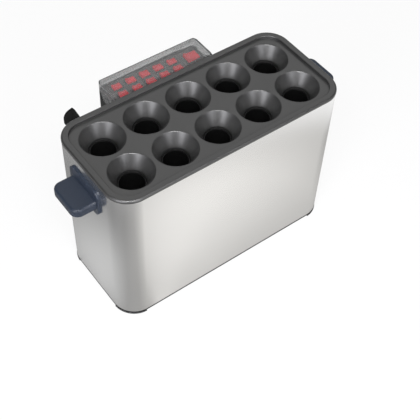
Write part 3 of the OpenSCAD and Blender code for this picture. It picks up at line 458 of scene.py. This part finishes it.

# Floor
# A plain white studio sweep that looks white to the lens and keeps the soft shadow;
# to glossy and transmission rays it is a painted reflection instead: greys that turn
# with the bearing from the near corner, fade with distance and warm towards the
# front, so that the polished steel shows painted darker and lighter bands.
floor_mesh = bpy.data.meshes.new("floor")
reach = 6.0
floor_corners = [(-reach, -reach, 0), (reach, -reach, 0), (reach, reach, 0), (-reach, reach, 0)]
floor_mesh.from_pydata(floor_corners, [], [(0, 1, 2, 3)])
floor = bpy.data.objects.new("floor", floor_mesh)
bpy.context.scene.collection.objects.link(floor)
white = bpy.data.materials.new("white floor")
white.use_nodes = True
tree = white.node_tree
paper = tree.nodes["Principled BSDF"]
paper.inputs["Base Color"].default_value = (0.95, 0.95, 0.95, 1)
paper.inputs["Roughness"].default_value = 0.9
paper.inputs["Specular IOR Level"].default_value = 0.0
ray = add(tree, "ShaderNodeLightPath")
spot = add(tree, "ShaderNodeNewGeometry").outputs["Position"]
from_corner = add(tree, "ShaderNodeVectorMath", {0: spot, 1: corners[2]}, operation="SUBTRACT").outputs[0]
facing = math.radians(225)
ahead, aside = (
    add(tree, "ShaderNodeVectorMath", {0: from_corner, 1: axis}, operation="DOT_PRODUCT").outputs["Value"]
    for axis in ((math.cos(facing), math.sin(facing), 0), (-math.sin(facing), math.cos(facing), 0))
)
swung = add(tree, "ShaderNodeMath", {0: aside, 1: ahead}, operation="ARCTAN2").outputs[0]
along = add(tree, "ShaderNodeMapRange", {
    "Value": swung, "From Min": -math.pi, "From Max": math.pi,
}).outputs[0]
away = add(tree, "ShaderNodeVectorMath", {0: from_corner}, operation="LENGTH").outputs["Value"]
span, white_from, lens_share = 0.5, 0.6, 0.88
near_far = add(tree, "ShaderNodeMath", {0: away, 1: span}, operation="DIVIDE").outputs[0]


def ramp(source, stops):
    """A smooth run of grey levels over 0 to 1."""
    run = add(tree, "ShaderNodeValToRGB", {"Fac": source})
    while len(run.color_ramp.elements) < len(stops):
        run.color_ramp.elements.new(0.5)
    for stop, (position, level_of) in zip(run.color_ramp.elements, stops):
        stop.position = position
        stop.color = (level_of, level_of, level_of, 1)
    return run.outputs["Color"]


def blend(share, one, other):
    """A mix of two colours by a share, through the colour sockets of a mix node."""
    first, second, mix = 6, 7, 2
    return add(tree, "ShaderNodeMix", {0: share, first: one, second: other}, data_type="RGBA").outputs[mix]


# Painted reflection: grey levels by bearing round the near corner, seen only in the steel.
by_bearing = ramp(along, [((angle + 180) / 360, level_of) for angle, level_of in (
    (-180, 0.55), (-97, 0.72), (-40, 0.55), (-10, 0.45), (30, 0.50), (58, 0.69),
    (76, 0.97), (92, 1.0), (115, 0.80), (128, 0.61), (180, 0.53),
)])
at_left = ramp(near_far, [(r / span, level_of) for r, level_of in (
    (0.09, 0.88), (0.12, 0.85), (0.18, 0.66), (0.27, 0.42),
)])
at_front = ramp(near_far, [(r / span, level_of) for r, level_of in (
    (0.06, 0.79), (0.13, 0.92), (0.25, 1.0), (0.34, 1.0), (0.48, 0.74),
)])
turn = 0.9
to_front = add(tree, "ShaderNodeMapRange", {"Value": swung, "From Min": -turn, "From Max": turn}).outputs[0]
by_distance = blend(to_front, at_left, at_front)
grade = add(tree, "ShaderNodeVectorMath", {0: by_bearing, 1: by_distance}, operation="MULTIPLY").outputs[0]
# Painted reflection: a warm cast towards the front, seen only in the steel.
tint = blend(to_front, (1, 1, 1, 1), (1.0, 0.985, 0.96, 1))
warm = add(tree, "ShaderNodeVectorMath", {0: grade, 1: tint}, operation="MULTIPLY").outputs[0]
bright = add(tree, "ShaderNodeEmission", {"Color": (1, 1, 1, 1), "Strength": 1.0})
far_off = add(tree, "ShaderNodeMapRange", {
    "Value": away, "From Min": span, "From Max": white_from,
}).outputs[0]
shown = blend(far_off, warm, (1, 1, 1, 1))
# Painted reflection: the graded greys, shown only to glossy and transmission rays.
painted_reflection = add(tree, "ShaderNodeEmission", {"Color": shown, "Strength": 1.0})
share = add(tree, "ShaderNodeMath", {
    0: ray.outputs["Is Camera Ray"], 1: lens_share,
}, operation="MULTIPLY").outputs[0]
seen = add(tree, "ShaderNodeMixShader", {0: share, 1: paper.outputs[0], 2: bright.outputs[0]})
sheen_ray = add(tree, "ShaderNodeMath", {
    0: ray.outputs["Is Glossy Ray"], 1: ray.outputs["Is Transmission Ray"],
}, operation="MAXIMUM").outputs[0]
surface = add(tree, "ShaderNodeMixShader", {0: sheen_ray, 1: seen.outputs[0], 2: painted_reflection.outputs[0]})
tree.links.new(surface.outputs[0], tree.nodes["Material Output"].inputs["Surface"])
floor_mesh.materials.append(white)

# Studio light
# Two tall boxes beside the lens draw the soft streaks in the funnels, a flat one above
# it lights the rim, a small one at the right lines the back of the rim, and a wide one
# over the back gives the tray and the lid their sheen.


def softbox(name, towards, lift_deg, away, wide, high, radiance, colour=(1, 1, 1)):
    """A flat lamp that looks at the tray from a compass bearing and a height."""
    bearing, rise = math.radians(towards), math.radians(lift_deg)
    aim = Vector((0, body_y, 0.2))
    way = Vector((math.sin(bearing) * math.cos(rise), -math.cos(bearing) * math.cos(rise), math.sin(rise)))
    lamp = bpy.data.objects.new(name, bpy.data.lights.new(name, "AREA"))
    lamp.data.shape = "RECTANGLE"
    lamp.data.size, lamp.data.size_y = wide, high
    lamp.data.energy = radiance * math.pi * wide * high
    lamp.data.color = colour
    facing_back = way.to_track_quat("Z", "Y").to_matrix().to_4x4()
    lamp.matrix_world = Matrix.Translation(aim + way * away) @ facing_back
    bpy.context.scene.collection.objects.link(lamp)


cool = (0.98, 0.975, 1.03)
softbox("left_box", towards=-64, lift_deg=20, away=3.5, wide=1.4, high=2.8, radiance=5.8, colour=cool)
softbox("right_box", towards=-5, lift_deg=20, away=3.5, wide=1.4, high=2.8, radiance=3.7, colour=cool)
softbox("top_box", towards=-36, lift_deg=54, away=2.2, wide=1.3, high=0.45, radiance=20.0)
softbox("side_box", towards=38, lift_deg=45, away=2.6, wide=0.6, high=0.6, radiance=5.0)
softbox("back_box", towards=146, lift_deg=48, away=2.4, wide=3.2, high=2.0, radiance=0.75)

world = bpy.data.worlds.new("studio")
bpy.context.scene.world = world
world.use_nodes = True
tree = world.node_tree
room = tree.nodes["Background"]
room.inputs["Color"].default_value = (1, 1, 1, 1)
room.inputs["Strength"].default_value = 0.03
blank = add(tree, "ShaderNodeBackground", {"Color": (1, 1, 1, 1), "Strength": 1.0})
ray = add(tree, "ShaderNodeLightPath")
either = add(tree, "ShaderNodeMixShader", {
    0: ray.outputs["Is Camera Ray"], 1: room.outputs[0], 2: blank.outputs[0],
})
tree.links.new(either.outputs[0], tree.nodes["World Output"].inputs["Surface"])
bpy.context.scene.view_settings.view_transform = "Standard"
